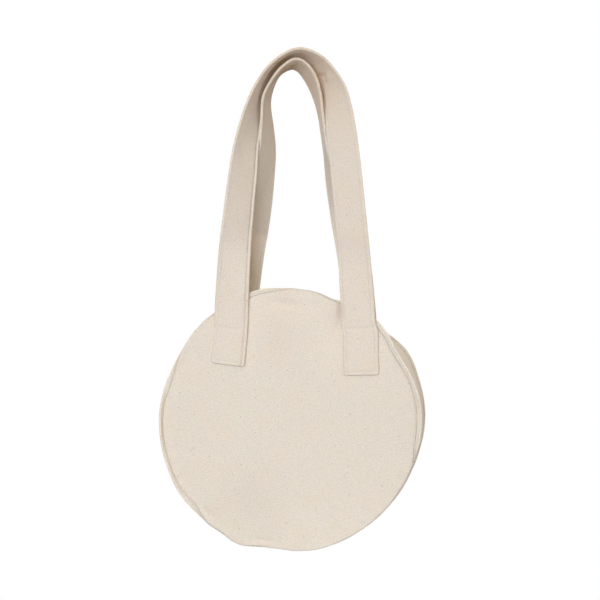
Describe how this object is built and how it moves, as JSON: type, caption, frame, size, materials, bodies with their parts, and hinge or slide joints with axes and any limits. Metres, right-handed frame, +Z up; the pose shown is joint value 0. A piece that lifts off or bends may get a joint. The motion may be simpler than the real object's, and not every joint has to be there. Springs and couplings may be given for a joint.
{
  "type": "round tote bag",
  "caption": "Round tote bag of plain canvas, with round panels joined by a side band, bound rim seams, an open top and long flat shoulder straps, as it hangs by the straps.",
  "frame": {"origin": "the hang point, under the top of the back strap, where a peg, hook or shoulder carries the bag", "axes": "+Z up along the hanging bag, -Y out of its front panel, +X to its right seen from the front"},
  "size_m": [0.3004, 0.0859, 0.5773],
  "materials": {
    "canvas_panel": "unbleached plain weave cotton canvas with brown flecks",
    "canvas_band": "unbleached plain weave cotton canvas",
    "canvas_binding": "folded unbleached canvas strip with a stitch line",
    "canvas_strap": "unbleached canvas folded in four, stitched along its edges"
  },
  "bodies": {
    "root": {"front_panel": "canvas_panel", "back_panel": "canvas_panel", "gusset": "canvas_band", "front_binding": "canvas_binding", "back_binding": "canvas_binding", "front_strap": "canvas_strap", "back_strap": "canvas_strap"}
  },
  "joints": []
}
